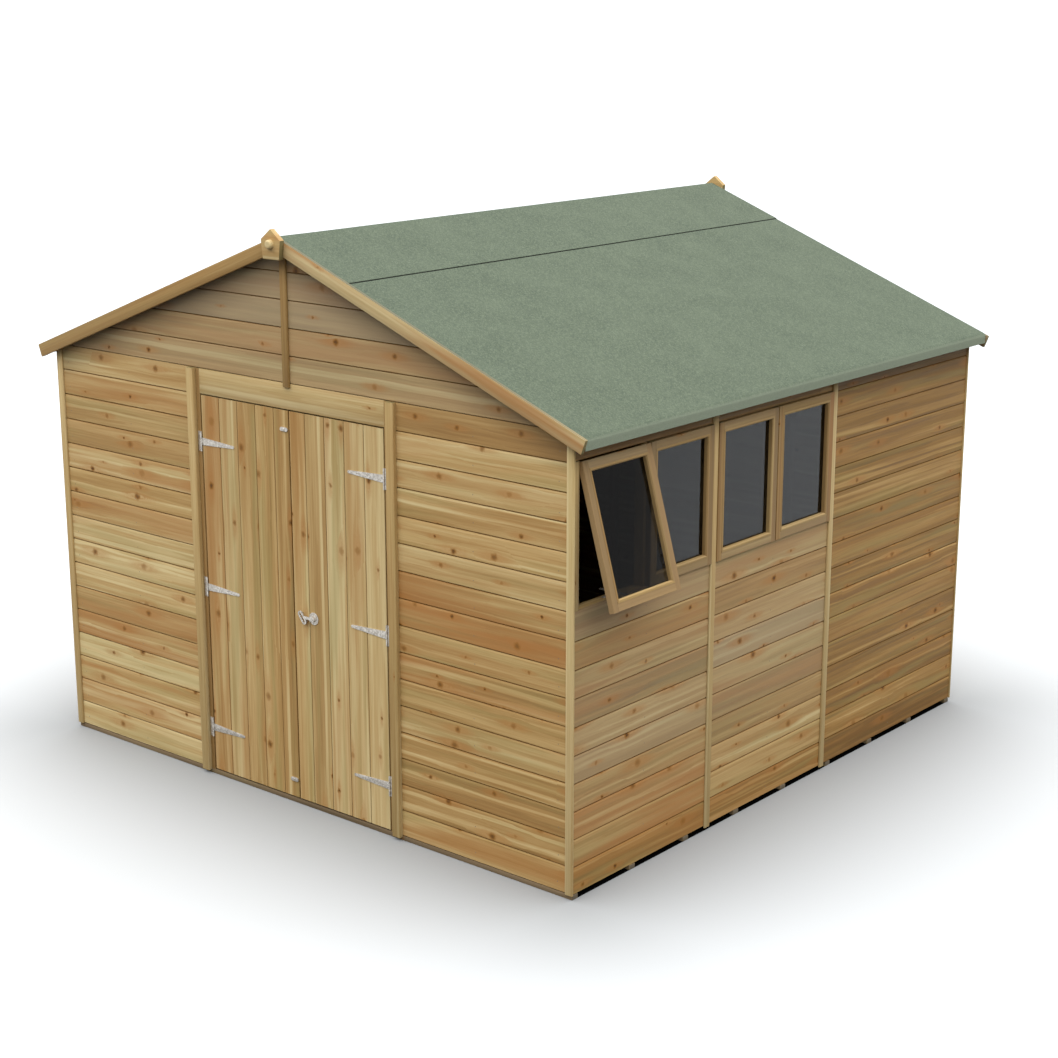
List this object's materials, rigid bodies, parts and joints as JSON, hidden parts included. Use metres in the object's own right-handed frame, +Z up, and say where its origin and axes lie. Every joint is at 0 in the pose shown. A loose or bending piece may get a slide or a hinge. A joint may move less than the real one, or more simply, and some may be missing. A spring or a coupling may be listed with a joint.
{
  "type": "wooden garden shed",
  "caption": "Apex-roofed garden shed of shiplap panels on floor bearers, with hinged double doors, side windows with a top-hung one held open, and a felted roof.",
  "frame": {"origin": "on the ground under the middle of the walls, on the underside of the middle floor bearer", "axes": "+X to the right seen from the front, +Y from the front to the back, +Z up"},
  "size_m": [3.2951, 3.166, 2.5008],
  "materials": {
    "shiplap": "planed pressure treated softwood boards",
    "framing": "sawn softwood framing",
    "trim": "planed softwood strips",
    "door_boards": "planed tongue and groove boards",
    "floor": "planed softwood floor boards",
    "roof_boards": "sawn softwood roof boards",
    "felt": "green mineral felt",
    "glazing": "clear sheet",
    "galvanised": "bright zinc plated steel"
  },
  "bodies": {
    "shell": {"floor_bearers": "floor", "floor_boards": "floor", "front_wall_left": "shiplap", "front_wall_right": "shiplap", "front_gable": "shiplap", "rear_wall_left": "shiplap", "rear_wall_right": "shiplap", "left_wall": "shiplap", "right_wall_front": "shiplap", "right_wall_middle": "shiplap", "right_wall_rear": "shiplap", "window_header": "shiplap", "end_studs": "framing", "end_rails": "framing", "gable_rafters": "framing", "side_studs": "framing", "side_rails": "framing", "window_rails": "framing", "window_mullions": "framing", "fixed_sashes": "trim", "open_sash": "trim", "window_stay": "galvanised", "window_panes": "glazing", "corner_strips": "trim", "door_strips": "trim", "gable_strips": "trim", "side_strips": "trim", "door_jambs": "trim", "door_head": "trim", "hinge_plates": "galvanised", "roof_boards": "roof_boards", "roof_felt": "felt", "roof_felt_cap": "felt", "roof_purlins": "framing", "front_bargeboards": "trim", "rear_bargeboards": "trim", "finials": "trim"},
    "door_left": {"door_left_leaf": "door_boards", "door_left_ledges": "framing", "door_left_straps": "galvanised", "turn_buttons": "galvanised"},
    "door_right": {"door_right_leaf": "door_boards", "door_right_ledges": "framing", "door_right_straps": "galvanised", "door_latch": "galvanised"}
  },
  "joints": [
    {"name": "door_left_hinge", "type": "hinge", "parent": "shell", "child": "door_left", "pos_m": [-0.5475, -1.499, 0.9], "axis": [0, 0, -1], "range_deg": [0, 110]},
    {"name": "door_right_hinge", "type": "hinge", "parent": "shell", "child": "door_right", "pos_m": [0.5475, -1.499, 0.9], "axis": [0, 0, 1], "range_deg": [0, 110]}
  ]
}
